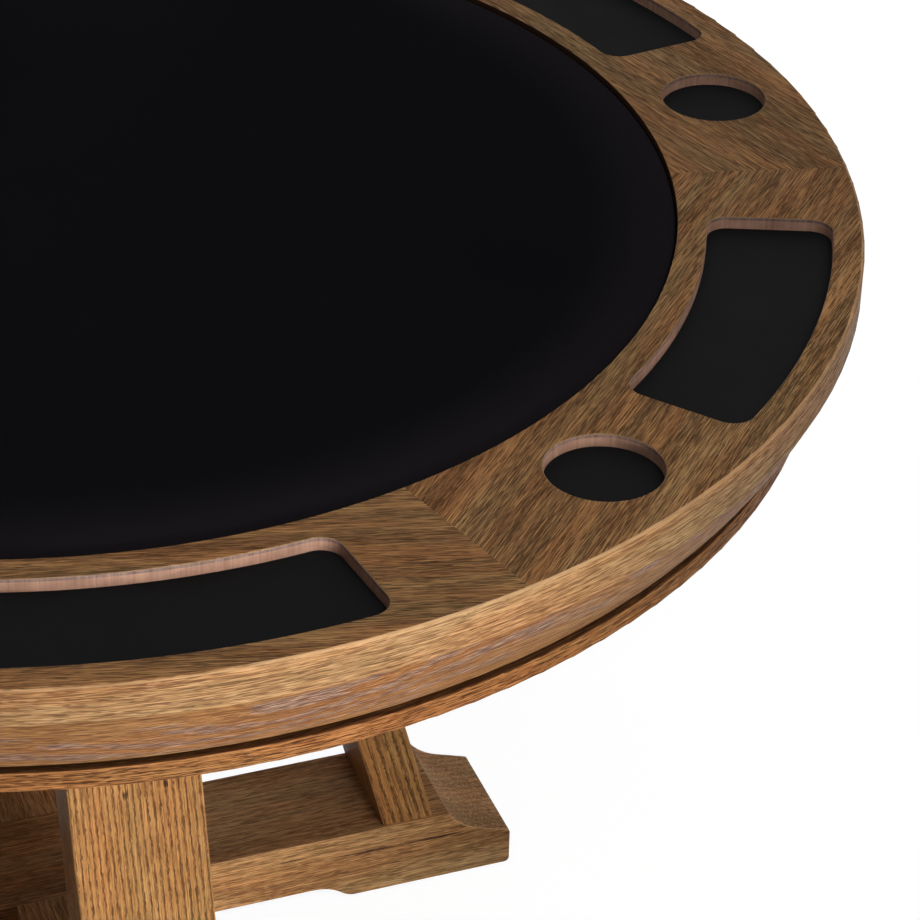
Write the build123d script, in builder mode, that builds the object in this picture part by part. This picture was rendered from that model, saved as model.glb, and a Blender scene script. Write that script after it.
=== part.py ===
from build123d import *
import math
import os

os.makedirs("parts", exist_ok=True)

# Round gaming table: a six-sided rim with cup wells and chip trays round a padded playing surface,
# on a pedestal of four splayed plank legs. Millimetres, floor at z = 0, table axis on Z,
# floor beam A along X and floor beam B along Y.

# ------------------------------------------------------------------ driving dimensions
# Overall
table_height = 776.0  # floor to the top face of the rim
top_diameter = 1372.0  # over the edge band
seats = 6  # places round the rim, one mitred segment each
pattern_turn = -1.1  # direction of the first cup well from floor beam A, degrees

# Rim and its edge
rim_width = 152.5  # playing surface to the outside of the edge band
rim_thickness = 30.0
band_thickness = 3.0
band_round = 2.5
skirt_height = 62.4
skirt_step = 1.0  # the skirt starts this far inside the band
skirt_undercut = 37.0  # the skirt's foot stands this far inside the band
skirt_bow = 3.0  # how far the skirt's face swells from a straight cone
skirt_foot = 13.0  # width of the flat under the skirt
spline_length = 100.0
spline_width = 24.0
spline_thickness = 4.0

# Wells in the rim
well_depth = 11.0  # rim face down to the lining
lining_thickness = 2.0
lining_clearance = 0.3
well_round = 1.2  # eased top edge of each well
cup_diameter = 90.4
mitre_to_cup = 92.7  # these three are measured along the wells' centre circle
cup_to_tray = 58.3
tray_to_mitre = 83.0
tray_inner_border = 24.0
tray_outer_border = 25.7
tray_corner = 18.0

# Playing surface
surface_gap = 1.0  # all round, between the cloth and the rim
board_thickness = 18.0
cloth_thickness = 1.5
cloth_hem = 30.0  # turned under the board
cloth_roll = 7.0  # outside radius of the padded edge
cloth_side = 0.5  # least height of foam left straight under that roll
panel_thickness = 18.0
push_hole_diameter = 32.0
push_hole_circle_radius = 250.0
push_hole_turn = 45.0  # direction of the first push hole, degrees

# Base under the game top
shadow_gap = 4.8  # skirt foot to base ring
base_ring_thickness = 16.0
base_ring_reach = 2.4  # the lip stands this far outside the skirt's foot
base_ring_width = 91.0
base_ring_round = 1.5
apron_clearance = 4.0  # hoop to skirt, all round
apron_thickness = 20.0
rail_width = 110.0
dowel_diameter = 12.0
dowel_length = 34.0
dowel_rise = 14.0
dowel_circle_radius = 300.0
dowel_chamfer = 1.5
dowel_clearance = 0.4
dowel_headroom = 1.0

# Legs
leg_thickness = 47.3
leg_inset = 3.2  # each side, from the beam's side
leg_lean = 14.4  # degrees from upright, heads towards the table's axis
leg_setback = 79.1  # outer face of the leg's foot, from the beam's end
leg_round = 1.6
tenon_thickness = 20.0
tenon_width = 42.0
tenon_length = 15.0
mortise_bottom = 1.0  # space past the tenon's end

# Floor beams
beam_length = 847.0
beam_width = 122.0
beam_height = 74.0
beam_round = 1.2
toe_length = 63.5  # from the cove's start to the beam's end
cove_width = 30.6
toe_slope = 18.8  # degrees
toe_height = 38.2  # at the beam's end
toe_nose = 4.0  # rounding of the toe's upper corner
toe_heel = 5.0  # rounding of its lower corner
pad_length = 156.5  # flat foot at each end of the beam
ogee_width = 42.0
ogee_turn_part = 1 / 3  # where the ogee turns, as a part of its run and its rise
relief_height = 15.2  # the beam is cut away this much between its feet
glide_diameter = 40.0
glide_thickness = 5.0
glide_stand = 1.5  # the glides stand this far out of the feet
glide_inset = 42.0  # glide centre to beam end
glide_chamfer = 0.75

# Fasteners
bolt_diameter = 8.0
bolt_grip = 50.0  # thread held in the leg
bolt_spread = 35.0  # each side of the leg's middle
bolt_head_width = 13.0  # across flats
bolt_head_height = 5.5
washer_diameter = 24.0
washer_thickness = 2.0
counterbore_clearance = 1.0
lower_counterbore = 20.0
upper_counterbore = 12.0
screw_diameter = 4.5
screw_head_diameter = 9.0
screw_bite = 14.0  # panel screws, into the rim
long_screw_bite = 28.0  # screws into the apron ring, the rails and the laps
panel_screw_part = 0.15  # from each mitre, as a part of a seat's angle
apron_screw_count = 8
rail_screw_spread = 27.5  # each side of the rail's middle
lap_screw_spread = 30.0

touch = 0.01  # edges and corners this near to a level or an end lie on it

# ------------------------------------------------------------------ derived sizes
top_radius = top_diameter / 2
play_radius = top_radius - rim_width
segment_radius = top_radius - band_thickness
seat_angle = 360 / seats
recess_depth = well_depth + lining_thickness

rim_under = table_height - rim_thickness
panel_under = rim_under - panel_thickness
skirt_under = rim_under - skirt_height
skirt_foot_radius = top_radius - skirt_undercut
skirt_inner_radius = skirt_foot_radius - skirt_foot

base_ring_top = skirt_under - shadow_gap
base_ring_under = base_ring_top - base_ring_thickness
base_ring_radius = skirt_foot_radius + base_ring_reach
base_ring_inner = base_ring_radius - base_ring_width
apron_radius = skirt_inner_radius - apron_clearance
apron_inner = apron_radius - apron_thickness
rail_height = panel_under - base_ring_top

foot_under = glide_stand
beam_top = foot_under + beam_height
beam_half = beam_length / 2
relief_top = foot_under + relief_height
beam_lap = (beam_top + relief_top) / 2
rail_lap = (panel_under + base_ring_top) / 2

# Wells: everything lies on one circle, and the tray fills what the other spaces leave
tray_inner = play_radius + tray_inner_border
tray_outer = top_radius - tray_outer_border
well_circle = (tray_inner + tray_outer) / 2


def along_circle(length):
    """Angle in degrees of an arc of this length on the wells' centre circle."""
    return math.degrees(length / well_circle)


cup_turn = along_circle(mitre_to_cup + cup_diameter / 2)
tray_start = along_circle(mitre_to_cup + cup_diameter + cup_to_tray)
tray_span = seat_angle - tray_start - along_circle(tray_to_mitre)
first_mitre = pattern_turn - cup_turn

# Playing surface: the pad fills the height that makes the cloth flush with the rim
cloth_radius = play_radius - surface_gap
board_radius = cloth_radius - cloth_thickness
board_under = rim_under + cloth_thickness
board_top = board_under + board_thickness
foam_top = table_height - cloth_thickness
foam_roll = min(cloth_roll - cloth_thickness, foam_top - board_top - cloth_side)

# Legs lean in the upright plane of their beam
lean_run = math.tan(math.radians(leg_lean))
leg_width = beam_width - 2 * leg_inset
leg_depth = leg_thickness / math.cos(math.radians(leg_lean))  # along the beam, on the level
leg_rise = base_ring_top - beam_top
leg_reach = beam_half - leg_setback
foot_middle = leg_reach - leg_depth / 2
head_middle = foot_middle - lean_run * leg_rise
lower_bolt_reach = foot_middle - lean_run * bolt_grip / 2
upper_bolt_reach = head_middle + lean_run * bolt_grip / 2

mortise_depth = tenon_length + mortise_bottom

leg_directions = {0: (1, 0), 90: (0, 1), 180: (-1, 0), 270: (0, -1)}  # by turn in degrees
counterbore_radius = washer_diameter / 2 + counterbore_clearance

STANDING = (Align.CENTER, Align.CENTER, Align.MIN)  # a round post on its lower end


def upright(turn):
    """Upright plane through the table's axis: local X points outwards, local Y up."""
    x, y = leg_directions[turn % 360]
    return Plane(origin=(0, 0, 0), x_dir=(x, y, 0), z_dir=(y, -x, 0))


def finish(builder, node):
    """Label a finished piece and write its file."""
    builder.part.label = node
    export_step(builder.part, f"parts/{node}.step")


def at_legs(reach, spread, level):
    """Places on both sides of each leg's middle line."""
    places = []
    for turn in leg_directions:
        for side in (-spread, spread):
            places.append(upright(turn) * Location((reach, level, side)))
    return [Location(place.position) for place in places]


# ------------------------------------------------------------------ shared fasteners
def screw_shape(length):
    """Countersunk screw pointing up, with its head's face at the origin."""
    head_height = (screw_head_diameter - screw_diameter) / 2
    with BuildPart() as screw:
        with BuildSketch(Plane.XZ):
            with BuildLine():
                Polyline(
                    (0, 0),
                    (screw_head_diameter / 2, 0),
                    (screw_diameter / 2, head_height),
                    (screw_diameter / 2, length - screw_diameter),
                    (0, length),
                    close=True,
                )
            make_face()
        revolve(axis=Axis.Z)
    return screw.part


def bolt_shape(length):
    """Hexagon bolt pointing up, with the underside of its head at the origin."""
    with BuildPart() as bolt:
        with BuildSketch(Plane.XY.offset(-bolt_head_height)):
            RegularPolygon(radius=bolt_head_width / 2, side_count=6, major_radius=False)
        extrude(amount=bolt_head_height)
        Cylinder(bolt_diameter / 2, length, align=STANDING)
    return bolt.part


def washer_shape():
    """Plain washer with its underside at the origin."""
    with BuildPart() as washer:
        with BuildSketch():
            Circle(washer_diameter / 2)
            Circle(bolt_diameter / 2, mode=Mode.SUBTRACT)
        extrude(amount=washer_thickness)
    return washer.part


panel_screw = screw_shape(panel_thickness + screw_bite)
ring_screw = screw_shape(base_ring_thickness + long_screw_bite)
lap_screw = screw_shape(long_screw_bite + screw_bite)

lower_bolt_seat = foot_under + lower_counterbore
upper_bolt_seat = panel_under - upper_counterbore
lower_bolt = bolt_shape(beam_top + bolt_grip - lower_bolt_seat + washer_thickness)
upper_bolt = bolt_shape(upper_bolt_seat - base_ring_top + bolt_grip + washer_thickness)
washer = washer_shape()
upside_down = Location((0, 0, 0), (180, 0, 0))

# Where the screws go
panel_screw_circle = (play_radius + apron_inner) / 2
panel_screw_turns = [first_mitre + seat_angle * (i + part) for i in range(seats)
                     for part in (panel_screw_part, 1 - panel_screw_part)]
panel_screw_places = [
    Location((
        panel_screw_circle * math.cos(math.radians(turn)),
        panel_screw_circle * math.sin(math.radians(turn)),
        panel_under,
    ))
    for turn in panel_screw_turns
]
rail_screw_circle = (base_ring_inner + apron_inner) / 2
rail_screw_places = at_legs(rail_screw_circle, rail_screw_spread, base_ring_under)
apron_screw_circle = (apron_inner + apron_radius) / 2
dowel_base = panel_under + dowel_rise - dowel_length


def lap_places(level):
    """Four screw places round the table's axis, inside a lap joint."""
    return [Location((x, y, level)) for x in (-lap_screw_spread, lap_screw_spread)
            for y in (-lap_screw_spread, lap_screw_spread)]


# ------------------------------------------------------------------ game top: rim
def tray_outline(start):
    """Chip tray seen from above: two arcs about the table's axis and two radial ends."""
    with BuildSketch(mode=Mode.PRIVATE) as outline:
        with BuildLine():
            inner = CenterArc((0, 0), tray_inner, start, tray_span)
            outer = CenterArc((0, 0), tray_outer, start, tray_span)
            Line(inner @ 0, outer @ 0)
            Line(inner @ 1, outer @ 1)
        make_face()
        fillet(outline.vertices(), tray_corner)
    return outline.sketch


def cup_centre(turn):
    """Centre of a cup well, for its direction in degrees."""
    a = math.radians(turn)
    return (well_circle * math.cos(a), well_circle * math.sin(a))


spline_level = table_height - recess_depth - (rim_thickness - recess_depth) / 2
spline_circle = (play_radius + segment_radius) / 2


def spline_shape(turn):
    """Loose tongue lying along the mitre in this direction."""
    a = math.radians(turn)
    tongue_plane = Plane(origin=(0, 0, spline_level), x_dir=(math.cos(a), math.sin(a), 0), z_dir=(0, 0, 1))
    with BuildPart() as tongue:
        with BuildSketch(tongue_plane):
            with Locations((spline_circle, 0)):
                SlotOverall(spline_length, spline_width)
        extrude(amount=spline_thickness / 2, both=True)
    return tongue.part


splines = [spline_shape(first_mitre + seat_angle * i) for i in range(seats)]

for i in range(seats):
    mitre = first_mitre + seat_angle * i
    cup_turn_here = mitre + cup_turn
    tray_here = tray_outline(mitre + tray_start)

    with BuildPart() as rim_segment:
        with BuildSketch(Plane.XY.offset(rim_under)):
            with BuildLine():
                inner_arc = CenterArc((0, 0), play_radius, mitre, seat_angle)
                outer_arc = CenterArc((0, 0), segment_radius, mitre, seat_angle)
                Line(inner_arc @ 0, outer_arc @ 0)
                Line(inner_arc @ 1, outer_arc @ 1)
            make_face()
        extrude(amount=rim_thickness)
        with BuildSketch(Plane.XY.offset(table_height)):
            add(tray_here)
            with Locations(cup_centre(cup_turn_here)):
                Circle(cup_diameter / 2)
        extrude(amount=-recess_depth, mode=Mode.SUBTRACT)
        cut_edges = rim_segment.edges(Select.LAST)
        well_edges = cut_edges.filter_by_position(Axis.Z, table_height - touch, table_height + touch)
        fillet(well_edges, well_round)
        add([splines[i], splines[(i + 1) % seats]], mode=Mode.SUBTRACT)
        with Locations(panel_screw_places):
            add(panel_screw, mode=Mode.SUBTRACT)
    finish(rim_segment, f"rim_segment_{i + 1}")

    with BuildPart() as tray_lining:
        with BuildSketch(Plane.XY.offset(table_height - recess_depth)):
            add(tray_here)
            offset(amount=-lining_clearance, kind=Kind.ARC, mode=Mode.REPLACE)
        extrude(amount=lining_thickness)
    finish(tray_lining, f"tray_lining_{i + 1}")

    with BuildPart() as cup_lining:
        with BuildSketch(Plane.XY.offset(table_height - recess_depth)):
            with Locations(cup_centre(cup_turn_here)):
                Circle(cup_diameter / 2 - lining_clearance)
        extrude(amount=lining_thickness)
    finish(cup_lining, f"cup_lining_{i + 1}")

with BuildPart() as mitre_splines:
    add(splines)
finish(mitre_splines, "mitre_splines")

with BuildPart() as edge_band:
    with BuildSketch(Plane.XZ):
        with BuildLine():
            Polyline(
                (segment_radius, rim_under),
                (top_radius, rim_under),
                (top_radius, table_height),
                (segment_radius, table_height),
                close=True,
            )
        band_face = make_face()
        outer_corner = band_face.vertices().sort_by(lambda v: v.X + v.Y)[-1]
        fillet(outer_corner, min(band_round, band_thickness - touch))
    revolve(axis=Axis.Z)
finish(edge_band, "edge_band")

with BuildPart() as skirt:
    face_top = (top_radius - skirt_step, rim_under)
    face_foot = (skirt_foot_radius, skirt_under)
    face_slant = math.hypot(face_top[0] - face_foot[0], face_top[1] - face_foot[1])
    with BuildSketch(Plane.XZ):
        with BuildLine():
            SagittaArc(face_foot, face_top, -skirt_bow)
            Polyline(
                face_top,
                (skirt_inner_radius, rim_under),
                (skirt_inner_radius, skirt_under),
                face_foot,
            )
        make_face()
    revolve(axis=Axis.Z)
finish(skirt, "skirt")

with BuildPart() as top_panel:
    with BuildSketch(Plane.XY.offset(panel_under)):
        Circle(skirt_inner_radius)
        with PolarLocations(push_hole_circle_radius, 2, start_angle=push_hole_turn):
            Circle(push_hole_diameter / 2, mode=Mode.SUBTRACT)
    extrude(amount=panel_thickness)
    with Locations(panel_screw_places):
        add(panel_screw, mode=Mode.SUBTRACT)
    with Locations((0, 0, panel_under)):
        with PolarLocations(dowel_circle_radius, len(leg_directions)):
            Cylinder(
                dowel_diameter / 2 + dowel_clearance,
                dowel_rise + dowel_headroom,
                align=STANDING,
                mode=Mode.SUBTRACT,
            )
finish(top_panel, "top_panel")

with BuildPart() as panel_screws:
    with Locations(panel_screw_places):
        add(panel_screw)
finish(panel_screws, "panel_screws")

# ------------------------------------------------------------------ playing surface
with BuildPart() as play_board:
    with BuildSketch(Plane.XY.offset(board_under)):
        Circle(board_radius)
    extrude(amount=board_thickness)
finish(play_board, "play_board")

with BuildPart() as play_foam:
    with BuildSketch(Plane.XY.offset(board_top)):
        Circle(board_radius)
    extrude(amount=foam_top - board_top)
    fillet(play_foam.edges().group_by(Axis.Z)[-1], foam_roll)
finish(play_foam, "play_foam")

with BuildPart() as play_cloth:
    with BuildSketch(Plane.XY.offset(rim_under)):
        Circle(cloth_radius)
    extrude(amount=rim_thickness)
    fillet(play_cloth.edges().group_by(Axis.Z)[-1], foam_roll + cloth_thickness)
    with BuildSketch(Plane.XY.offset(rim_under)):
        Circle(board_radius - cloth_hem)
    extrude(amount=cloth_thickness, mode=Mode.SUBTRACT)
    add(play_board.part, mode=Mode.SUBTRACT)
    add(play_foam.part, mode=Mode.SUBTRACT)
finish(play_cloth, "play_cloth")

# ------------------------------------------------------------------ base: rings and head rails
with BuildPart() as apron_ring:
    with BuildSketch(Plane.XY.offset(base_ring_top)):
        Circle(apron_radius)
        Circle(apron_inner, mode=Mode.SUBTRACT)
    extrude(amount=rail_height)
    with Locations((0, 0, base_ring_under)):
        with PolarLocations(apron_screw_circle, apron_screw_count, start_angle=180 / apron_screw_count):
            add(ring_screw, mode=Mode.SUBTRACT)
finish(apron_ring, "apron_ring")

with BuildPart() as base_ring:
    with BuildSketch(Plane.XY.offset(base_ring_under)):
        Circle(base_ring_radius)
        Circle(base_ring_inner, mode=Mode.SUBTRACT)
    extrude(amount=base_ring_thickness)
    fillet(base_ring.edges().filter_by(GeomType.CIRCLE).sort_by(SortBy.RADIUS)[-2:], base_ring_round)
    with Locations(rail_screw_places):
        add(ring_screw, mode=Mode.SUBTRACT)
    with Locations((0, 0, base_ring_under)):
        with PolarLocations(apron_screw_circle, apron_screw_count, start_angle=180 / apron_screw_count):
            add(ring_screw, mode=Mode.SUBTRACT)
finish(base_ring, "base_ring")

for node, turn, notch_low in (("head_rail_a", 0, True), ("head_rail_b", 90, False)):
    with BuildPart() as head_rail:
        with BuildSketch(Plane.XY.offset(base_ring_top)):
            Rectangle(2 * apron_inner, rail_width, rotation=turn)
            Circle(apron_inner, mode=Mode.INTERSECT)
        extrude(amount=rail_height)
        with BuildSketch(Plane.XY.offset(rail_lap)):
            Rectangle(rail_width, rail_width)
        extrude(amount=-rail_height if notch_low else rail_height, mode=Mode.SUBTRACT)
        mortise_place = Location((head_middle, base_ring_top + mortise_depth / 2, 0))
        for tenon_turn in (turn, turn + 180):
            with Locations(upright(tenon_turn) * mortise_place):
                Box(tenon_thickness, mortise_depth, tenon_width, mode=Mode.SUBTRACT)
        with Locations(at_legs(upper_bolt_reach, bolt_spread, base_ring_top)):
            Cylinder(bolt_diameter / 2, rail_height, align=STANDING, mode=Mode.SUBTRACT)
        with Locations(at_legs(upper_bolt_reach, bolt_spread, upper_bolt_seat)):
            Cylinder(counterbore_radius, upper_counterbore, align=STANDING, mode=Mode.SUBTRACT)
        with Locations(rail_screw_places):
            add(ring_screw, mode=Mode.SUBTRACT)
        with Locations((0, 0, dowel_base)):
            with PolarLocations(dowel_circle_radius, len(leg_directions)):
                Cylinder(dowel_diameter / 2, dowel_length, align=STANDING, mode=Mode.SUBTRACT)
        with Locations(lap_places(base_ring_top)):
            add(lap_screw, mode=Mode.SUBTRACT)
    finish(head_rail, node)

with BuildPart() as locating_dowels:
    with Locations((0, 0, dowel_base)):
        with PolarLocations(dowel_circle_radius, len(leg_directions)):
            Cylinder(dowel_diameter / 2, dowel_length, align=STANDING)
    chamfer(locating_dowels.edges().group_by(Axis.Z)[-1], dowel_chamfer)
finish(locating_dowels, "locating_dowels")

# ------------------------------------------------------------------ base: legs
for i, turn in enumerate(leg_directions):
    with BuildPart() as leg:
        with BuildSketch(upright(turn)):
            with BuildLine():
                Polyline(
                    (leg_reach, beam_top),
                    (leg_reach - leg_depth, beam_top),
                    (leg_reach - leg_depth - lean_run * leg_rise, base_ring_top),
                    (leg_reach - lean_run * leg_rise, base_ring_top),
                    close=True,
                )
            make_face()
        extrude(amount=leg_width / 2, both=True)
        fillet(leg.edges().sort_by(SortBy.LENGTH)[-4:], leg_round)
        tenons = (
            (foot_middle, beam_top - tenon_length / 2),
            (head_middle, base_ring_top + tenon_length / 2),
        )
        for middle, level in tenons:
            with Locations(upright(turn) * Location((middle, level, 0))):
                Box(tenon_thickness, tenon_length, tenon_width)
        with Locations(at_legs(lower_bolt_reach, bolt_spread, beam_top)):
            Cylinder(bolt_diameter / 2, bolt_grip, align=STANDING, mode=Mode.SUBTRACT)
        with Locations(at_legs(upper_bolt_reach, bolt_spread, base_ring_top - bolt_grip)):
            Cylinder(bolt_diameter / 2, bolt_grip, align=STANDING, mode=Mode.SUBTRACT)
    finish(leg, f"leg_{i + 1}")


# ------------------------------------------------------------------ base: floor beams
# Side view of a floor beam: coved, sloping toes above, flat feet and ogees below
slope = math.radians(toe_slope)
cove_start = (beam_half - toe_length, beam_top)
cove_end = (
    beam_half - toe_length + cove_width,
    foot_under + toe_height + (toe_length - cove_width) * math.tan(slope),
)
toe_tip = (beam_half, foot_under + toe_height)
heel = (beam_half, foot_under)
ogee_start = (beam_half - pad_length, foot_under)
ogee_turn = (
    ogee_start[0] - ogee_width * ogee_turn_part,
    foot_under + relief_height * ogee_turn_part,
)
ogee_end = (ogee_start[0] - ogee_width, relief_top)

for node, turn, notch_low in (("floor_beam_a", 0, True), ("floor_beam_b", 90, False)):
    with BuildPart() as floor_beam:
        with BuildSketch(upright(turn)) as outline:
            with BuildLine():
                TangentArc(cove_end, cove_start, tangent=(-math.cos(slope), math.sin(slope)))
                Polyline(cove_end, toe_tip, heel, ogee_start)
                lower = TangentArc(ogee_start, ogee_turn, tangent=(-1, 0))
                TangentArc(ogee_turn, ogee_end, tangent=lower % 1)
                mirror(about=Plane.YZ)
                Line((-cove_start[0], beam_top), cove_start)
                Line((-ogee_end[0], relief_top), ogee_end)
            make_face()
            tips = outline.vertices().filter_by(lambda v: abs(v.X) > beam_half - touch)
            fillet(tips.group_by(Axis.Y)[-1], toe_nose)
            heels = outline.vertices().filter_by(lambda v: abs(v.X) > beam_half - touch)
            fillet(heels.group_by(Axis.Y)[0], toe_heel)
        extrude(amount=beam_width / 2, both=True)
        side_faces = floor_beam.faces().filter_by(Axis.Y if turn == 0 else Axis.X)
        fillet(side_faces.edges(), beam_round)
        with BuildSketch(Plane.XY.offset(beam_lap)):
            Rectangle(beam_width, beam_width)
        extrude(amount=-beam_height if notch_low else beam_height, mode=Mode.SUBTRACT)
        mortise_place = Location((foot_middle, beam_top - mortise_depth / 2, 0))
        for tenon_turn in (turn, turn + 180):
            with Locations(upright(tenon_turn) * mortise_place):
                Box(tenon_thickness, mortise_depth, tenon_width, mode=Mode.SUBTRACT)
        with Locations(at_legs(lower_bolt_reach, bolt_spread, foot_under)):
            Cylinder(bolt_diameter / 2, beam_height, align=STANDING, mode=Mode.SUBTRACT)
            Cylinder(counterbore_radius, lower_counterbore, align=STANDING, mode=Mode.SUBTRACT)
        with Locations((0, 0, foot_under)):
            with PolarLocations(beam_half - glide_inset, len(leg_directions)):
                glide_seat = glide_thickness - glide_stand
                Cylinder(glide_diameter / 2, glide_seat, align=STANDING, mode=Mode.SUBTRACT)
        with Locations(lap_places(relief_top)):
            add(lap_screw, mode=Mode.SUBTRACT)
    finish(floor_beam, node)

with BuildPart() as floor_glides:
    with PolarLocations(beam_half - glide_inset, len(leg_directions)):
        Cylinder(glide_diameter / 2, glide_thickness, align=STANDING)
    chamfer(floor_glides.edges().group_by(Axis.Z)[0], glide_chamfer)
finish(floor_glides, "floor_glides")

# ------------------------------------------------------------------ base: fasteners
with BuildPart() as lower_leg_bolts:
    with Locations(at_legs(lower_bolt_reach, bolt_spread, lower_bolt_seat - washer_thickness)):
        add(lower_bolt)
finish(lower_leg_bolts, "lower_leg_bolts")

with BuildPart() as lower_leg_washers:
    with Locations(at_legs(lower_bolt_reach, bolt_spread, lower_bolt_seat - washer_thickness)):
        add(washer)
finish(lower_leg_washers, "lower_leg_washers")

with BuildPart() as upper_leg_bolts:
    with Locations(at_legs(upper_bolt_reach, bolt_spread, upper_bolt_seat + washer_thickness)):
        add(upper_bolt.moved(upside_down))
finish(upper_leg_bolts, "upper_leg_bolts")

with BuildPart() as upper_leg_washers:
    with Locations(at_legs(upper_bolt_reach, bolt_spread, upper_bolt_seat)):
        add(washer)
finish(upper_leg_washers, "upper_leg_washers")

with BuildPart() as rail_screws:
    with Locations(rail_screw_places):
        add(ring_screw)
finish(rail_screws, "rail_screws")

with BuildPart() as apron_screws:
    with Locations((0, 0, base_ring_under)):
        with PolarLocations(apron_screw_circle, apron_screw_count, start_angle=180 / apron_screw_count):
            add(ring_screw)
finish(apron_screws, "apron_screws")

with BuildPart() as lap_screws:
    with Locations(lap_places(relief_top) + lap_places(base_ring_top)):
        add(lap_screw)
finish(lap_screws, "lap_screws")
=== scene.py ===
import math

import bmesh
import bpy
from mathutils import Matrix, Vector


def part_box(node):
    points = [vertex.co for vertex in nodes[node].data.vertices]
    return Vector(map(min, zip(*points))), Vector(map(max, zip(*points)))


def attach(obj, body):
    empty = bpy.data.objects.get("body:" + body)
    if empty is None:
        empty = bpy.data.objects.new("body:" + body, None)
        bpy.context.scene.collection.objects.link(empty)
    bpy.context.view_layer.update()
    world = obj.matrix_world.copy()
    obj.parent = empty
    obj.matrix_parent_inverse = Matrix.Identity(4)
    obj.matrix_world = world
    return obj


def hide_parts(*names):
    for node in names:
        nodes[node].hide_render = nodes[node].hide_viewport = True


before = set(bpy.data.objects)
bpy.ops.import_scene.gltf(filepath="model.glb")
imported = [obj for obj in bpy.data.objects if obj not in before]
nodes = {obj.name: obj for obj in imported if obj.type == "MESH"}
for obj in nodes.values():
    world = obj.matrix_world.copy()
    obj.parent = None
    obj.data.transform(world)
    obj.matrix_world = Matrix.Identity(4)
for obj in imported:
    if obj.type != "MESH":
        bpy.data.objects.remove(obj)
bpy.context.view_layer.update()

# ------------------------------------------------------------------ places taken from the parts in model.glb
BAND_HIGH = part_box("edge_band")[1]
TABLE_TOP = BAND_HIGH.z
TABLE_RADIUS = BAND_HIGH.x
LIP_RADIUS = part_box("base_ring")[1].x
CLOTH_LOW, CLOTH_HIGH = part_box("play_cloth")
CLOTH_RADIUS = CLOTH_HIGH.x
BOARD_LOW, BOARD_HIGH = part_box("play_board")
BOARD_RADIUS = BOARD_HIGH.x


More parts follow.
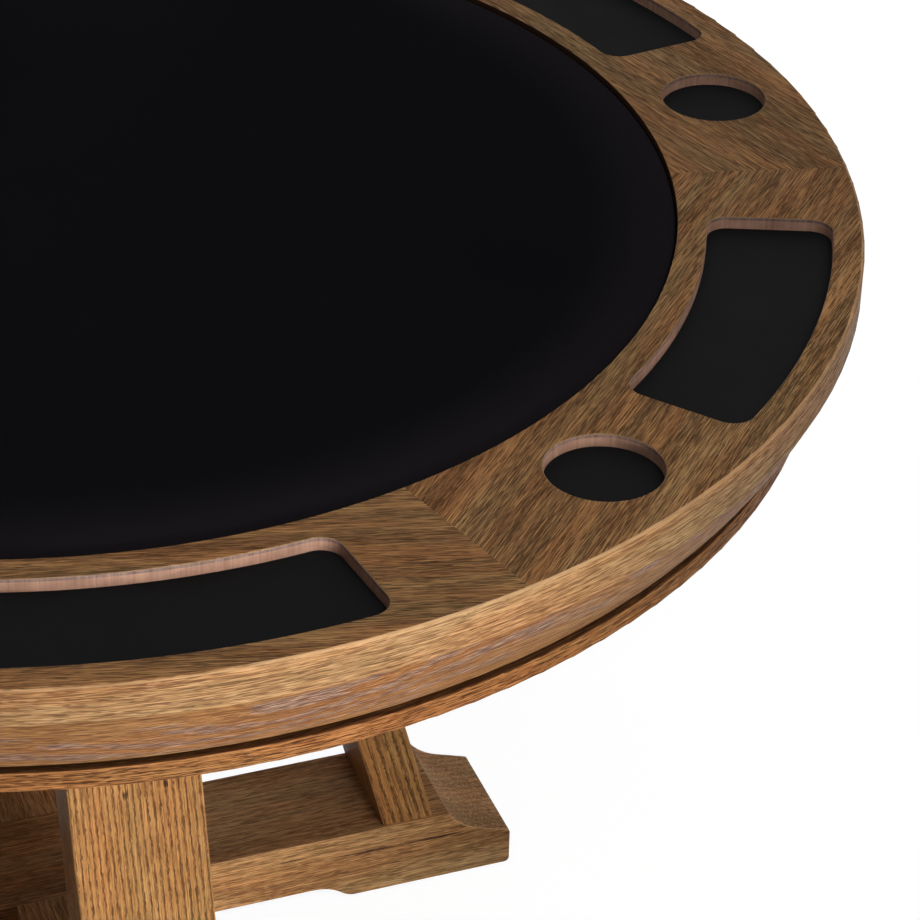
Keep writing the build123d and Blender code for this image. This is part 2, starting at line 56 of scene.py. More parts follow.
# ------------------------------------------------------------------ node trees
class Tree:
    """The node tree of a material or world, with short calls for the nodes used here."""

    def __init__(self, owner):
        owner.use_nodes = True
        self.owner = owner
        self.nodes = owner.node_tree.nodes
        self.links = owner.node_tree.links

    def add(self, kind, inputs=None, **settings):
        node = self.nodes.new(kind)
        for key, value in settings.items():
            setattr(node, key, value)
        for key, value in (inputs or {}).items():
            self.put(node.inputs[key], value)
        return node

    def put(self, socket, value):
        if isinstance(value, bpy.types.NodeSocket):
            self.links.new(value, socket)
        else:
            socket.default_value = value

    def math(self, operation, a, b=0.0, c=0.0):
        return self.add("ShaderNodeMath", {0: a, 1: b, 2: c}, operation=operation).outputs[0]

    def times(self, a, b):
        return self.math("MULTIPLY", a, b)

    def times_plus(self, a, b, c):
        """a times b, plus c."""
        return self.math("MULTIPLY_ADD", a, b, c)

    def hypot(self, a, b):
        return self.math("SQRT", self.times_plus(a, a, self.times(b, b)))

    def sway(self, noise, reach, value):
        """The value, moved by up to this reach either way as the noise goes from 0 to 1."""
        return self.times_plus(self.math("SUBTRACT", noise, 0.5), 2.0 * reach, value)

    def vector(self, operation, a, b=(0, 0, 0)):
        return self.add("ShaderNodeVectorMath", {0: a, 1: b}, operation=operation).outputs[0]

    def dot(self, a, b):
        return self.add("ShaderNodeVectorMath", {0: a, 1: b}, operation="DOT_PRODUCT").outputs["Value"]

    def split(self, v):
        return self.add("ShaderNodeSeparateXYZ", {0: v}).outputs

    def join(self, x, y, z):
        return self.add("ShaderNodeCombineXYZ", {0: x, 1: y, 2: z}).outputs[0]

    def noise(self, v, waves, detail, rough=0.5, output="Fac"):
        """Noise with about this many waves a metre along x, y and z."""
        scaled = self.vector("MULTIPLY", v, waves)
        node = self.add("ShaderNodeTexNoise", {
            "Vector": scaled, "Scale": 1.0, "Detail": detail, "Roughness": rough})
        return node.outputs[output]

    def cells(self, v, waves, **settings):
        """Distance to the nearest cell's middle, with about this many cells a metre."""
        node = self.add("ShaderNodeTexVoronoi", {"Vector": v, "Scale": waves}, **settings)
        return node.outputs["Distance"]

    def map(self, x, low, high, to_low=0.0, to_high=1.0):
        """Smooth step between two values, from 0 to 1 where nothing else is said."""
        return self.add("ShaderNodeMapRange", {
            "Value": x, "From Min": low, "From Max": high, "To Min": to_low, "To Max": to_high,
        }, interpolation_type="SMOOTHSTEP").outputs[0]

    def bell(self, x, rise_from, rise_to, fall_from, fall_to):
        """1 between a smooth rise and a smooth fall, and 0 beyond them."""
        return self.times(self.map(x, rise_from, rise_to), self.map(x, fall_from, fall_to, 1.0, 0.0))

    def ramp(self, x, stops):
        node = self.add("ShaderNodeValToRGB", {0: x})
        band = node.color_ramp.elements
        while len(band) < len(stops):
            band.new(0.5)
        for element, (at, colour) in zip(band, stops):
            element.position = at
            element.color = (*colour, 1)
        return node.outputs[0]

    def mix(self, factor, a, b, blend="MIX"):
        node = self.add("ShaderNodeMix", data_type="RGBA", blend_type=blend)
        for socket, value in ((node.inputs[0], factor), (node.inputs[6], a), (node.inputs[7], b)):
            if isinstance(value, tuple) and len(value) == 3:
                value = (*value, 1)
            self.put(socket, value)
        return node.outputs[2]

    def local(self):
        return self.add("ShaderNodeTexCoord").outputs["Object"]

    def normal(self):
        """The face's own normal in the table's frame, whichever pose the piece is in."""
        geometry = self.add("ShaderNodeNewGeometry").outputs["Normal"]
        return self.add("ShaderNodeVectorTransform", {0: geometry}, vector_type="NORMAL",
                        convert_from="WORLD", convert_to="OBJECT").outputs[0]

    def normal_z(self):
        return self.split(self.normal())[2]

    def surface(self, colour, roughness, height, depth, strength, fixed=None):
        """Gives the material its colour, roughness, a bump of this depth, and fixed values by socket."""
        bump = self.add("ShaderNodeBump", {"Height": height, "Distance": depth, "Strength": strength})
        sockets = {"Base Color": colour, "Roughness": roughness, "Normal": bump.outputs[0], **(fixed or {})}
        shader = self.nodes["Principled BSDF"]
        for key, value in sockets.items():
            self.put(shader.inputs[key], value)
        return self.owner


def material_tree(name):
    return Tree(bpy.data.materials.new(name))


# ------------------------------------------------------------------ grain frames
def rounding(t, slant):
    """1 on rounded edges, given how far a face leans from one flat side (0) to the other (1)."""
    return t.bell(slant, 0.2, 0.45, 0.75, 0.95)


class Board:
    """Grain frame of a straight board: x along this direction, y level across it."""

    def __init__(self, direction):
        x = Vector(direction).normalized()
        y = Vector((0, 0, 1)).cross(x).normalized()
        self.axes = Matrix((x, y, x.cross(y)))

    def place(self, t):
        v = t.local()
        return t.join(*(t.dot(v, tuple(axis)) for axis in self.axes))

    def at(self, point):
        """This point of the table in the board's own frame."""
        return self.axes @ Vector(point)

    def arris(self, t):
        """1 on the rounded edges between the board's sides and its other faces."""
        return rounding(t, t.math("ABSOLUTE", t.dot(t.normal(), tuple(self.axes[1]))))


class Hoop:
    """Grain frame that runs round the table: x along this circle, y up, z outwards."""

    def __init__(self, radius):
        self.radius = radius

    def place(self, t):
        x, y, z = t.split(t.local())
        turn = t.math("ARCTAN2", t.times(y, -1.0), t.times(x, -1.0))
        return t.join(t.times(turn, -self.radius), z, t.hypot(x, y))

    def arris(self, t):
        """1 on the rounded edge between the top face and the outside."""
        return rounding(t, t.normal_z())


# ------------------------------------------------------------------ oak
def rings(t, v, pith, pitch, wander, swing, wobble, jitter):
    """Phase of the growth rings, from 0 to 1 across each, round a pith line that wanders along the board."""
    _, y, z = t.split(v)
    drift_y, drift_z, _ = t.split(t.noise(v, (swing, 6.0, 6.0), 1.0, output="Color"))
    across = t.times_plus(drift_y, wander, t.math("ADD", y, pith[0]))
    depth = t.times_plus(drift_z, wander, t.math("ADD", z, pith[1]))
    ripple = t.noise(v, (26.0, 190.0, 190.0), 1.0)
    phase = t.times_plus(ripple, wobble, t.math("DIVIDE", t.hypot(across, depth), pitch))
    if jitter:
        tremble = t.noise(v, (170.0, 380.0, 380.0), 1.0)
        phase = t.times_plus(tremble, jitter, phase)
    return t.math("FRACT", phase)


def knot_mask(t, offset, size, stretch, fray):
    """1 inside a knot or mineral streak, given the offset from its middle, with an edge the fibres fray."""
    x, y, z = t.split(t.vector("MULTIPLY", offset, (1 / stretch, 1.0, 1.0)))
    reach = t.math("SQRT", t.times_plus(x, x, t.times_plus(y, y, t.times(z, z))))
    return t.map(t.sway(fray, size * 1.5, reach), size * 0.4, size * 1.3, 1.0, 0.0)


def cathedral(t, colour, broad, patch, speck, dark, veil):
    """Cathedral figure over this colour: patches of broad rings, with greyed pores behind a dark front."""
    front = t.bell(broad, 0.80, 0.95, 0.96, 1.0)
    band = t.bell(broad, 0.0, 0.08, 0.38, 0.60)
    greyed = t.ramp(speck, [(0.40, (0.120, 0.070, 0.058)), (0.52, (0.29, 0.188, 0.145)),
                            (0.66, (0.62, 0.47, 0.39))])
    colour = t.mix(t.times(t.times(patch, front), 0.6 * veil), colour, dark)
    return t.mix(t.times(t.times(patch, band), 0.85 * veil), colour, greyed)


def oak(name, grain, seed, tones, pith=(0.55, 0.9), pitch=0.0055, wander=0.02, swing=1.6, wobble=0.9,
        jitter=0.0, lines=0.15, line_width=0.4, fibres=1.0, clouds=0.4, pores=0.6, flecks=0.25, fineness=1.0,
        threads=0.4, veil=0.0, tint=0.5, edge_highlight=0.0, knots=(), overlay=None, relief=1.0, shine=0.05):
    """Open-grained, brushed and stained oak.

    grain gives the grain frame and tones the dark, middle, light and pore colours. pith, pitch, wander,
    swing, wobble and jitter shape the growth rings, fineness narrows the streaks, relief deepens the bump,
    and most of the others say how strong each kind of figure is, or how strong the painted highlight on
    the rounded edges is. knots holds the middle, size and stretch of each dark knot or mineral streak, and
    the function given last works on the finished colour: it adds the wells' walls with their painted shade
    and painted highlight, or painted shade in the groove under the skirt.
    """
    t = material_tree(name)
    dark, mid, light, pore_colour = tones
    flat = grain.place(t)
    v = t.vector("ADD", flat, seed)

    def growth(pitch, wobble, jitter):
        return rings(t, v, pith, pitch, wander, swing, wobble, jitter)

    def streaks(along, across, detail, rough=0.5):
        """Noise drawn out along the grain, with about this many waves a metre along and across it."""
        across *= fineness
        return t.noise(v, (along, across, across), detail, rough)

    ring = growth(pitch, wobble, jitter)
    early = t.bell(ring, 0.0, 0.15, line_width, line_width + 0.25)
    cloud = streaks(1.8, 22.0, 3.0, 0.55)
    fibre = streaks(30.0, 1050.0, 2.0, 0.6)
    dash = streaks(60.0, 1300.0, 1.0)
    fleck = streaks(95.0, 1450.0, 0.0)
    thread = t.times(t.map(streaks(8.0, 1150.0, 1.0), 0.54, 0.66),
                     t.map(streaks(3.0, 60.0, 1.0), 0.35, 0.6))
    pore = t.map(t.times_plus(early, 0.07, dash), 0.51, 0.62)

    # Fibres and clouds between the dark and the light tone, then the open pores of the early wood
    tone = t.sway(cloud, clouds, t.sway(fibre, fibres, 0.5))
    colour = t.ramp(tone, [(0.1, dark), (0.5, mid), (0.9, light)])
    line = t.times(early, t.map(dash, 0.35, 0.6, 0.65, 1.0))
    colour = t.mix(t.times(line, lines), colour, pore_colour)
    if veil:
        broad = growth(pitch * 4.0, 1.0, 0.35)
        patch = t.map(streaks(4.0, 34.0, 2.0, 0.6), 0.44, 0.55)
        speck = t.times_plus(fibre, 0.45, t.times(fleck, 0.55))
        colour = cathedral(t, colour, broad, patch, speck, dark, veil)
    open_pore = t.math("MAXIMUM", pore, t.times(thread, threads))
    colour = t.mix(t.times(open_pore, pores), colour, pore_colour)
    colour = t.mix(t.times(t.map(fleck, 0.58, 0.70), flecks), colour, light)
    hue = t.ramp(streaks(4.0, 34.0, 2.0), [(0.35, (0.90, 1.02, 1.04)), (0.65, (1.10, 0.98, 0.90))])
    colour = t.mix(tint, colour, hue, "MULTIPLY")
    for middle, size, stretch in knots:
        offset = t.vector("SUBTRACT", flat, tuple(grain.at(middle)))
        mask = knot_mask(t, offset, size, stretch, fibre)
        colour = t.mix(t.times(mask, 0.85), colour, KNOT_COLOUR)
    # Painted highlight: the rounded edges are lightened towards the light tone
    if edge_highlight:
        colour = t.mix(t.times(grain.arris(t), edge_highlight), colour, light)
    # The function given last adds the wells' walls, painted shade and painted highlight
    if overlay:
        colour = overlay(t, colour)

    height = t.times_plus(pore, -0.7, t.times_plus(early, -lines, fibre))
    roughness = t.times_plus(pore, 0.18, t.times_plus(fibre, 0.1, 0.41))
    return t.surface(colour, roughness, height, 0.0003 * relief, 0.6, {"Specular IOR Level": shine})


# Dark, middle, light and pore colours of the stained oak
BROWN = ((0.125, 0.057, 0.020), (0.295, 0.142, 0.052), (0.48, 0.260, 0.108), (0.056, 0.025, 0.009))
HONEY = ((0.19, 0.088, 0.034), (0.37, 0.197, 0.086), (0.57, 0.345, 0.175), (0.110, 0.056, 0.026))
RUSSET = ((0.150, 0.055, 0.015), (0.310, 0.128, 0.040), (0.46, 0.215, 0.082), (0.060, 0.022, 0.009))
AMBER = ((0.19, 0.075, 0.022), (0.385, 0.174, 0.060), (0.53, 0.270, 0.110), (0.100, 0.041, 0.017))
UMBER = ((0.19, 0.080, 0.023), (0.385, 0.176, 0.060), (0.56, 0.290, 0.110), (0.080, 0.032, 0.009))
TOBACCO = ((0.28, 0.129, 0.048), (0.565, 0.285, 0.119), (0.77, 0.450, 0.213), (0.140, 0.065, 0.028))
KNOT_COLOUR = (0.030, 0.013, 0.012)
INNER_WALL_SHADE = (0.030, 0.014, 0.008)  # painted shade on the wall round the playing surface
# painted highlight on the wells' upper edges
EDGE_HIGHLIGHT_COLOUR = (0.34, 0.22, 0.14)
# painted shade in the groove under the skirt
LEDGE_SHADE = (0.045, 0.019, 0.008)

VENEER_BLEND = (0.0033, 0.0029)  # the rim's veneer line starts between these depths under its face
INNER_WALL = 0.008  # only the wall round the playing surface is this near the cloth
INNER_WALL_BLEND = 0.001


def well_wall(t, face):
    """Routed walls of the wells: pinkish core under a thin dark veneer line, and a painted highlight on
    the upper edge.

    The wall round the playing surface is painted dark instead, as painted shade.
    """
    up = t.normal_z()
    v = t.local()
    x, y, z = t.split(v)
    ticks = t.noise(v, (330.0, 330.0, 6.0), 2.0, 0.6)
    cloud = t.noise(v, (40.0, 40.0, 90.0), 2.0, 0.5)
    core = t.ramp(t.times_plus(ticks, 0.5, t.times(cloud, 0.5)),
                  [(0.3, (0.29, 0.155, 0.105)), (0.7, (0.52, 0.30, 0.21))])
    veneer = t.ramp(ticks, [(0.3, (0.16, 0.10, 0.085)), (0.7, (0.30, 0.20, 0.17))])
    veneer_low, veneer_high = (TABLE_TOP - depth for depth in VENEER_BLEND)
    wall_colour = t.mix(t.map(z, veneer_low, veneer_high), core, veneer)
    # Painted shade: the wall round the playing surface is darkened to near black
    inner_reach = CLOTH_RADIUS + INNER_WALL
    inner = t.map(t.hypot(x, y), inner_reach + INNER_WALL_BLEND, inner_reach)
    wall_colour = t.mix(inner, wall_colour, INNER_WALL_SHADE)
    wall = t.map(up, 0.5, 0.3)
    # Painted highlight on the rounded upper edge, kept off the darkened inner wall
    edge_highlight = t.times(t.map(up, 0.97, 0.85), t.map(up, 0.2, 0.45))
    edge_highlight = t.times(edge_highlight, t.math("SUBTRACT", 1.0, inner))
    return t.mix(t.times(edge_highlight, 0.45), t.mix(wall, face, wall_colour), EDGE_HIGHLIGHT_COLOUR)


def groove_painted_shade(t, face):
    """Painted shade on the level ledge that forms the foot of the groove under the skirt."""
    ledge = t.map(t.normal_z(), 0.80, 0.97)
    return t.mix(t.times(ledge, 0.65), face, LEDGE_SHADE)


def paint(node, material):
    """Gives a carried-over CAD node this material all over."""
    mesh = nodes[node].data
    mesh.materials.clear()
    mesh.materials.append(material)


def numbered(prefix):
    """Names of the nodes that start with this, in order."""
    return sorted(name for name in nodes if name.startswith(prefix))


def box_turn(node):
    """Direction of the middle of a node's box from the table's axis, in radians."""
    low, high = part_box(node)
    middle = (low + high) / 2
    return math.atan2(middle.y, middle.x)


def arc_turn(node):
    """Direction of the middle of a rim segment's arc from the table's axis, in radians."""
    corners = [vertex.co for vertex in nodes[node].data.vertices]
    total = sum(corners, Vector((0, 0, 0)))
    start = math.atan2(total.y, total.x)
    turns = [math.remainder(math.atan2(corner.y, corner.x) - start, 2 * math.pi) for corner in corners]
    return start + (min(turns) + max(turns)) / 2


# Each rim segment's grain lies along its chord
for i, name in enumerate(numbered("rim_segment_")):
    a = arc_turn(name)
    chord = (-math.sin(a), math.cos(a), 0)
    paint(name, oak(f"rim_oak_{i + 1}", Board(chord), (3.1 * i, 0.37 * i, 1.7 * i), BROWN,
                    pitch=0.0062, lines=0.2, fibres=1.3, clouds=0.5, pores=0.85, threads=0.9, tint=0.8,
                    fineness=1.2, overlay=well_wall))

paint("edge_band", oak("band_oak", Hoop(TABLE_RADIUS), (5.0, 0.3, 0.0), HONEY, pith=(0.5, 0.1),
                       pitch=0.0045, wander=0.006, fibres=1.2, pores=0.65, clouds=0.7, flecks=0.5, tint=0.8,
                       edge_highlight=0.5))
paint("skirt", oak("skirt_oak", Hoop(TABLE_RADIUS), (1.0, 0.1, 0.0), AMBER, pith=(-0.858, -0.678),
                   pitch=0.0055, wander=0.16, swing=3.0, fibres=1.2, pores=0.6, clouds=0.6, veil=1.0))
paint("base_ring", oak("lip_oak", Hoop(LIP_RADIUS), (9.0, 0.5, 0.0), RUSSET, pith=(0.3, 0.2),
                       pitch=0.004, wander=0.01, fibres=1.4, pores=0.9, clouds=0.6, flecks=0.6, edge_highlight=0.5,
                       overlay=groove_painted_shade))
paint("apron_ring", oak("apron_oak", Hoop(LIP_RADIUS), (2.0, 0.9, 0.0), UMBER, pith=(0.4, 0.4),
                        wander=0.01))

LEG_LEAN = math.radians(14.4)  # as in the part's source
FRONT_TURN = -math.pi / 2
FRONT_LEG_KNOTS = (((-0.0092, -0.2734, 0.3519), 0.0030, 1.6), ((0.0265, -0.2729, 0.3542), 0.0023, 1.6))
for i, name in enumerate(numbered("leg_")):
    a = round(box_turn(name) / (math.pi / 2)) * math.pi / 2
    grain = (-math.cos(a) * math.sin(LEG_LEAN), -math.sin(a) * math.sin(LEG_LEAN), math.cos(LEG_LEAN))
    knots = FRONT_LEG_KNOTS if math.isclose(a, FRONT_TURN) else ()
    paint(name, oak(f"leg_oak_{i + 1}", Board(grain), (1.7 * i + 0.4, 0.21 * i, 0.5 * i), UMBER,
                    pith=(0.9, 0.1), pitch=0.0034, wander=0.010, wobble=0.3, jitter=0.6, lines=0.85,
                    line_width=0.26, fibres=0.9, clouds=0.3, pores=0.3, flecks=0.35, edge_highlight=0.3, knots=knots,
                    relief=2.5))

BEAM_STREAKS = (((0.275, -0.061, 0.0515), 0.0022, 14), ((0.345, -0.061, 0.0505), 0.0014, 16),
                ((0.205, -0.061, 0.0590), 0.0012, 14))
for name, grain, seed, streaks in (("floor_beam_a", (1, 0, 0), 0.3, BEAM_STREAKS),
                                   ("floor_beam_b", (0, 1, 0), 2.1, ()),
                                   ("head_rail_a", (1, 0, 0), 4.4, ()),
                                   ("head_rail_b", (0, 1, 0), 6.5, ())):
    paint(name, oak(f"{name}_oak", Board(grain), (seed, seed * 0.7, seed * 0.3), TOBACCO, pith=(0.3, 0.25),
                    pitch=0.0058, wander=0.03, lines=0.2, fibres=1.1, clouds=0.9, pores=0.65, flecks=0.4,
                    tint=0.6, edge_highlight=0.6, knots=streaks, shine=0.02))


# ------------------------------------------------------------------ other materials
PLY_THICKNESS = 0.0028
WEAVE_PITCH = 0.0009
SHEEN_BAND = (0.080, 0.006)  # the painted sheen rises between these distances from the cloth's edge


def plywood(name):
    """Birch plywood: pale face grain, and thin plies where its edge shows."""
    t = material_tree(name)
    v = t.local()
    grain = t.noise(v, (9.0, 260.0, 9.0), 3.0, 0.6)
    cloud = t.noise(v, (3.0, 7.0, 3.0), 2.0, 0.5)
    face = t.ramp(t.times_plus(grain, 0.6, t.times(cloud, 0.4)),
                  [(0.3, (0.36, 0.235, 0.13)), (0.7, (0.56, 0.41, 0.26))])
    ply = t.math("FRACT", t.math("DIVIDE", t.split(v)[2], PLY_THICKNESS))
    edge = t.mix(t.map(ply, 0.45, 0.55), (0.30, 0.18, 0.10), (0.50, 0.36, 0.22))
    side = t.map(t.math("ABSOLUTE", t.normal_z()), 0.6, 0.4)
    return t.surface(t.mix(side, face, edge), t.map(grain, 0.3, 0.7, 0.55, 0.7), grain, 0.0002, 0.4)


def lining(name):
    """Thin matte black sheet with a fine even grain."""
    t = material_tree(name)
    v = t.local()
    pebble = t.cells(v, 1400.0, feature="SMOOTH_F1")
    cloud = t.noise(v, (14.0, 14.0, 14.0), 3.0, 0.6)
    colour = t.ramp(cloud, [(0.3, (0.0052, 0.0052, 0.0054)), (0.7, (0.0078, 0.0078, 0.0081))])
    return t.surface(colour, t.map(cloud, 0.3, 0.7, 0.62, 0.72), pebble, 0.00012, 0.35,
                     {"Specular IOR Level": 0.03})


def steel(name):
    """Zinc-plated steel with fine turning marks."""
    t = material_tree(name)
    v = t.local()
    marks = t.noise(v, (300.0, 300.0, 2200.0), 2.0, 0.6)
    cloud = t.noise(v, (120.0, 120.0, 120.0), 2.0, 0.5)
    colour = t.ramp(cloud, [(0.3, (0.44, 0.44, 0.42)), (0.7, (0.62, 0.62, 0.60))])
    return t.surface(colour, t.map(marks, 0.3, 0.7, 0.26, 0.42), marks, 0.00005, 0.4, {"Metallic": 1.0})


def nylon(name):
    """Moulded black nylon with scuffs."""
    t = material_tree(name)
    scuff = t.noise(t.local(), (240.0, 60.0, 240.0), 4.0, 0.65)
    colour = t.ramp(scuff, [(0.4, (0.022, 0.022, 0.022)), (0.75, (0.06, 0.06, 0.058))])
    return t.surface(colour, t.map(scuff, 0.3, 0.7, 0.42, 0.6), scuff, 0.0001, 0.3)


def cloth(name):
    """Close-woven black cloth with a fine nap, and a painted sheen that makes it greyer where the pad rolls
    over.
    """
    t = material_tree(name)
    v = t.local()
    x, y, _ = t.split(v)
    turns = 2 * math.pi / WEAVE_PITCH
    weave = t.times(t.math("SINE", t.times(x, turns)), t.math("SINE", t.times(y, turns)))
    nap = t.noise(v, (700.0, 700.0, 700.0), 2.0, 0.6)
    drift = t.noise(v, (5.0, 5.0, 5.0), 3.0, 0.55)
    shade = t.times_plus(weave, 0.12, t.times_plus(nap, 0.4, t.times(drift, 0.5)))
    flat = t.ramp(shade, [(0.25, (0.0022, 0.0021, 0.0026)), (0.75, (0.0052, 0.0049, 0.0060))])
    # Painted sheen: the colour lightens towards the rolled edge
    edge_sheen = t.map(t.hypot(x, y), *(CLOTH_RADIUS - inwards for inwards in SHEEN_BAND))
    colour = t.mix(edge_sheen, flat, t.mix(0.5, flat, (0.016, 0.013, 0.015)))
    height = t.times_plus(nap, 0.6, weave)
    return t.surface(colour, t.map(nap, 0.3, 0.7, 0.82, 0.95), height, 0.00010, 0.5, {
        "Specular IOR Level": 0.01, "Sheen Weight": 0.01, "Sheen Roughness": 0.45,
        "Sheen Tint": (0.62, 0.64, 0.85, 1)})


def foam(name):
    """Grey closed-cell foam."""
    t = material_tree(name)
    bubbles = t.cells(t.local(), 900.0)
    colour = t.ramp(bubbles, [(0.1, (0.16, 0.16, 0.17)), (0.7, (0.26, 0.26, 0.27))])
    return t.surface(colour, t.map(bubbles, 0.1, 0.7, 0.8, 0.95), bubbles, 0.0002, 0.5)


ply = plywood("birch_ply")
for name in ("top_panel", "play_board", "mitre_splines", "locating_dowels"):
    paint(name, ply)
black_sheet = lining("well_sheet")
zinc = steel("zinc_steel")
for name in nodes:
    if name.startswith(("tray_lining", "cup_lining")):
        paint(name, black_sheet)
    if name.endswith(("_bolts", "_washers", "_screws")):
        paint(name, zinc)
paint("floor_glides", nylon("glide_nylon"))
paint("play_foam", foam("pad_foam"))


# ------------------------------------------------------------------ padded playing surface
HEM = 0.030  # the hem and the roll are as in the part's source
ROLL = 0.007
SHOULDER = 0.050  # width of the band where the pad falls away to its rolled edge
EDGE_DROP = 0.0018
FOOT_ROUND = 0.001  # easing of the cover's lower edge
FLAT_RADIUS = CLOTH_RADIUS - ROLL
DISC_STEPS = 40
ROLL_STEPS = 7
SIDE_STEPS = 4
SWELL_CAP = 0.0016  # the foam pushes the cloth up by no more than this
SWELL_FRAMES = 20


def crown(r):
    """Height of the pad's face at this distance from the table's axis."""
    fall = max(0.0, 1 - (FLAT_RADIUS - r) / SHOULDER)
    return CLOTH_HIGH.z - EDGE_DROP * fall ** 2


def add_ring(mesh, r, z, count):
    """Adds a level ring of this many corners round the table's axis."""
    turns = [2 * math.pi * j / count for j in range(count)]
    return [mesh.verts.new((r * math.cos(turn), r * math.sin(turn), z)) for turn in turns]


def add_disc(mesh):
    """Adds the pad's face, of triangles of about one size, and gives its outermost ring."""
    inner = add_ring(mesh, 0.0, crown(0.0), 1)
    for k in range(1, DISC_STEPS + 1):
        r = FLAT_RADIUS * k / DISC_STEPS
        outer = add_ring(mesh, r, crown(r), 6 * k)
        for side in range(6):
            for j in range(k):
                a = outer[(side * k + j) % len(outer)]
                b = outer[(side * k + j + 1) % len(outer)]
                c = inner[(side * (k - 1) + j) % len(inner)]
                mesh.faces.new((a, b, c))
                if j < k - 1:
                    d = inner[(side * (k - 1) + j + 1) % len(inner)]
                    mesh.faces.new((c, b, d))
        inner = outer
    return inner


def cover_profile():
    """Radius and height down the cover's rolled edge and side, under its hem and up round the board."""
    roll_middle = crown(FLAT_RADIUS) - ROLL
    profile = []
    for s in range(1, ROLL_STEPS + 1):
        a = math.pi / 2 * (1 - s / ROLL_STEPS)
        profile.append((FLAT_RADIUS + ROLL * math.cos(a), roll_middle + ROLL * math.sin(a)))
    side_height = roll_middle - CLOTH_LOW.z - FOOT_ROUND
    for s in range(1, SIDE_STEPS + 1):
        profile.append((CLOTH_RADIUS, roll_middle - side_height * s / SIDE_STEPS))
    hem_radius = BOARD_RADIUS - HEM
    return profile + [
        (CLOTH_RADIUS - FOOT_ROUND, CLOTH_LOW.z),
        ((CLOTH_RADIUS + hem_radius) / 2, CLOTH_LOW.z),
        (hem_radius, CLOTH_LOW.z),
        (hem_radius, BOARD_LOW.z),
        (BOARD_RADIUS, BOARD_LOW.z),
        (BOARD_RADIUS, BOARD_HIGH.z),
    ]


def play_cover():
    """Rolled, padded cover: face, rolled edge, side, and the hem turned under the board."""
    mesh = bmesh.new()
    last = add_disc(mesh)
    count = len(last)
    for r, z in cover_profile():
        ring = add_ring(mesh, r, z, count)
        for j in range(count):
            mesh.faces.new((last[j], ring[j], ring[(j + 1) % count], last[(j + 1) % count]))
        last = ring
    mesh.faces.new(last)
    bmesh.ops.recalc_face_normals(mesh, faces=mesh.faces)
    data = bpy.data.meshes.new("play_cover")
    mesh.to_mesh(data)
    mesh.free()
    cover = bpy.data.objects.new("play_cover", data)
    bpy.context.scene.collection.objects.link(cover)
    return cover


def swell(cover):
    """Lets the foam push the cloth up, with everything below the pad's face held still."""
    held_under = CLOTH_HIGH.z - EDGE_DROP - 0.0005  # just under the lowest part of the face
    held_beyond = FLAT_RADIUS - 0.001  # its outermost ring
    rest = [vertex.co.copy() for vertex in cover.data.vertices]
    held = cover.vertex_groups.new(name="held")
    for vertex in cover.data.vertices:
        if vertex.co.z < held_under or math.hypot(vertex.co.x, vertex.co.y) > held_beyond:
            held.add([vertex.index], 1.0, "REPLACE")
    modifier = cover.modifiers.new("swell", "CLOTH")
    settings = modifier.settings
    settings.quality = 4
    settings.mass = 0.3
    settings.tension_stiffness = 30
    settings.compression_stiffness = 30
    settings.shear_stiffness = 15
    settings.bending_stiffness = 3
    settings.use_pressure = True
    settings.uniform_pressure_force = 4
    settings.effector_weights.gravity = 0
    settings.vertex_group_mass = "held"
    modifier.point_cache.frame_start = 1
    modifier.point_cache.frame_end = SWELL_FRAMES
    scene = bpy.context.scene
    for step in range(1, SWELL_FRAMES + 1):
        scene.frame_set(step)
    moved = cover.evaluated_get(bpy.context.evaluated_depsgraph_get())
    shape = [vertex.co.copy() for vertex in moved.data.vertices]
    cover.modifiers.remove(modifier)
    cover.vertex_groups.clear()
    scene.frame_set(1)
    for vertex, before, after in zip(cover.data.vertices, rest, shape):
        rise = max(-SWELL_CAP, min(SWELL_CAP, after.z - before.z))
        vertex.co = (before.x, before.y, before.z + rise)


cover = play_cover()
swell(cover)
for polygon in cover.data.polygons:
    polygon.use_smooth = True
cover.data.materials.append(cloth("play_cloth_weave"))
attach(cover, "playing_surface")
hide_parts("play_cloth", "play_foam")

# ------------------------------------------------------------------ floor and backdrop
FLOOR_REACH = 14.0  # from the table's axis to each side of the floor
PAPER_WHITE = (1.12, 1.19)  # strength under the table and away from it, where the lamps' light falls off
PAPER_SPAN = (0.8, 2.2)  # distances from the table's axis between which that changes
PAPER_SHARE = 0.85  # how much of what the camera sees of the floor is that white
PAPER_GREY = (0.8, 0.8, 0.8, 1)  # the remainder, which takes the table's shadow
BOUNCE_GREY = (0.14, 0.14, 0.14, 1)  # the floor as all other rays meet it
WHITE = (1, 1, 1, 1)
AMBIENT = 0.03


def seen_ray(t):
    """1 where a ray comes from the camera, a mirror or glass."""
    path = t.add("ShaderNodeLightPath").outputs
    seen = t.math("MAXIMUM", path["Is Camera Ray"], path["Is Glossy Ray"])
    return t.math("MAXIMUM", seen, path["Is Transmission Ray"])


def show(t, output, factor, unseen, seen):
    """Links a mix of two shaders to this output node."""
    pick = t.add("ShaderNodeMixShader", {0: factor, 1: unseen.outputs[0], 2: seen.outputs[0]})
    t.put(t.nodes[output].inputs["Surface"], pick.outputs[0])


def white_paper():
    """Paper that the camera, mirrors and glass see white, and that throws little light on the table."""
    t = material_tree("floor_white")
    t.nodes.remove(t.nodes["Principled BSDF"])
    bounce = t.add("ShaderNodeBsdfDiffuse", {"Color": BOUNCE_GREY})
    shadowed = t.add("ShaderNodeBsdfDiffuse", {"Color": PAPER_GREY})
    x, y, _ = t.split(t.local())
    strength = t.map(t.hypot(x, y), *PAPER_SPAN, *PAPER_WHITE)
    white = t.add("ShaderNodeEmission", {"Color": WHITE, "Strength": strength})
    sheet = t.add("ShaderNodeMixShader", {0: PAPER_SHARE, 1: shadowed.outputs[0], 2: white.outputs[0]})
    show(t, "Material Output", seen_ray(t), bounce, sheet)
    return t.owner


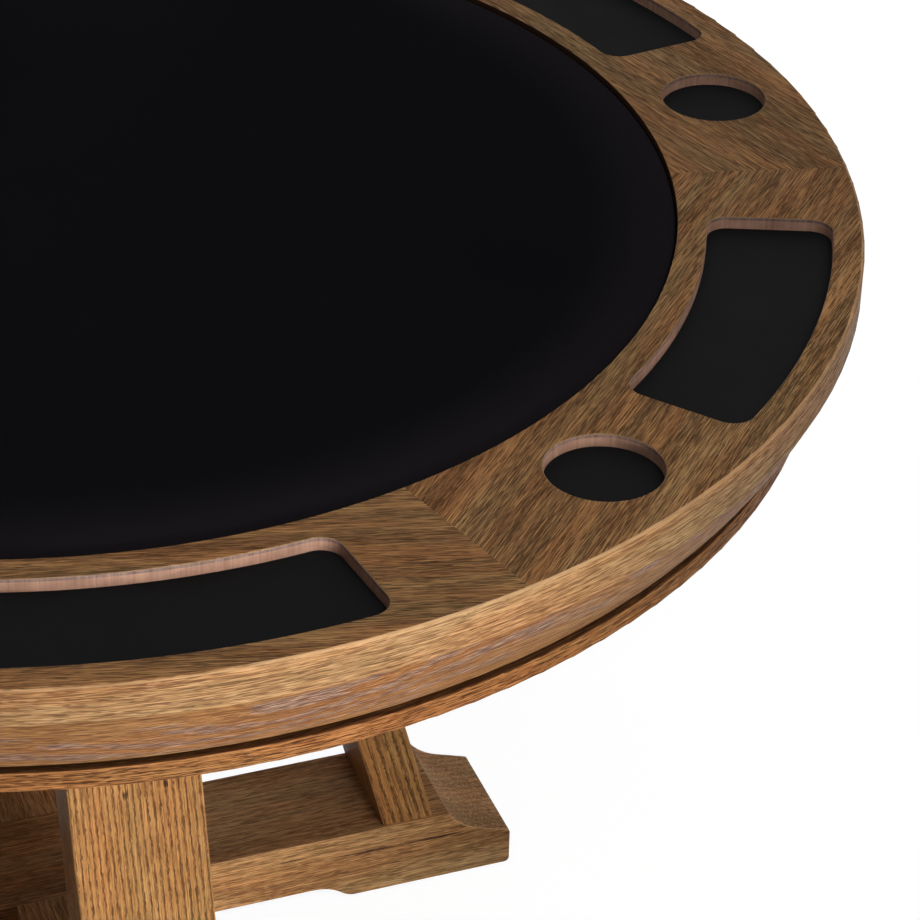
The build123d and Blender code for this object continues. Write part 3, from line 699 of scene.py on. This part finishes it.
corners = [(x * FLOOR_REACH, y * FLOOR_REACH, 0) for x, y in ((-1, -1), (1, -1), (1, 1), (-1, 1))]
floor_mesh = bpy.data.meshes.new("floor")
floor_mesh.from_pydata(corners, [], [(0, 1, 2, 3)])
floor_mesh.materials.append(white_paper())
floor = bpy.data.objects.new("floor", floor_mesh)
bpy.context.scene.collection.objects.link(floor)

sky = Tree(bpy.data.worlds.new("world"))
bpy.context.scene.world = sky.owner
ambient = sky.nodes["Background"]
ambient.inputs["Color"].default_value = WHITE
ambient.inputs["Strength"].default_value = AMBIENT
backdrop = sky.add("ShaderNodeBackground", {"Color": WHITE, "Strength": 1.0})
show(sky, "World Output", seen_ray(sky), ambient, backdrop)


# ------------------------------------------------------------------ light and camera
def lamp(name, azimuth, elevation, distance, size, watts, target=(0, 0, 0.5), spread=180):
    """Soft lamp of this width and height, looking at the target from this direction, within this spread."""
    light = bpy.data.lights.new(name, "AREA")
    light.shape = "RECTANGLE"
    light.size, light.size_y = size
    light.energy = watts
    light.spread = math.radians(spread)
    a, e = math.radians(azimuth), math.radians(elevation)
    direction = Vector((math.cos(e) * math.cos(a), math.cos(e) * math.sin(a), math.sin(e)))
    holder = bpy.data.objects.new(name, light)
    holder.location = Vector(target) + direction * distance
    holder.rotation_euler = (-direction).to_track_quat("-Z", "Y").to_euler()
    bpy.context.scene.collection.objects.link(holder)


# The key is low and narrow, on the near edge and the pedestal. The rear and side lamps are low too, on
# the pedestal from behind. The rest is soft and comes from higher up
NEAR_EDGE = (-0.03, -0.45, 0.33)
PEDESTAL = (0, 0, 0.42)
lamp("key", -80, 5, 3.2, (0.6, 1.4), 4.0, NEAR_EDGE, 16)
lamp("front", -72, 50, 3.4, (1.6, 1.6), 48)
lamp("right", 10, 35, 3.4, (1.6, 1.6), 8)
lamp("back", 95, 58, 3.4, (1.6, 1.6), 6)
lamp("rear", 85, 0, 3.6, (1.6, 0.6), 1.8, PEDESTAL, 40)
lamp("side", 45, 0, 3.6, (1.6, 0.6), 1.2, PEDESTAL, 40)
lamp("left", 145, 25, 3.6, (1.4, 1.4), 8)

# The photograph's viewing angle, given in the table's own frame
CAMERA_PLACE = (-0.5633, -2.4806, 2.1565)
CAMERA_RIGHT = (0.93890, -0.34346, 0.02225)
CAMERA_FORWARD = (0.29961, 0.78379, -0.54398)
SENSOR_WIDTH = 36.0
FOCAL_LENGTH = 135.7904
camera_data = bpy.data.cameras.new("camera")
camera_data.sensor_width = SENSOR_WIDTH
camera_data.lens = FOCAL_LENGTH
camera_data.clip_end = 100
camera = bpy.data.objects.new("camera", camera_data)
forward = Vector(CAMERA_FORWARD).normalized()
right = Vector(CAMERA_RIGHT)
right = (right - forward * right.dot(forward)).normalized()
spin = Matrix((right, right.cross(forward), -forward)).transposed()
camera.matrix_world = Matrix.Translation(CAMERA_PLACE) @ spin.to_4x4()
bpy.context.scene.collection.objects.link(camera)
bpy.context.scene.camera = camera
bpy.context.scene.view_settings.view_transform = "Standard"
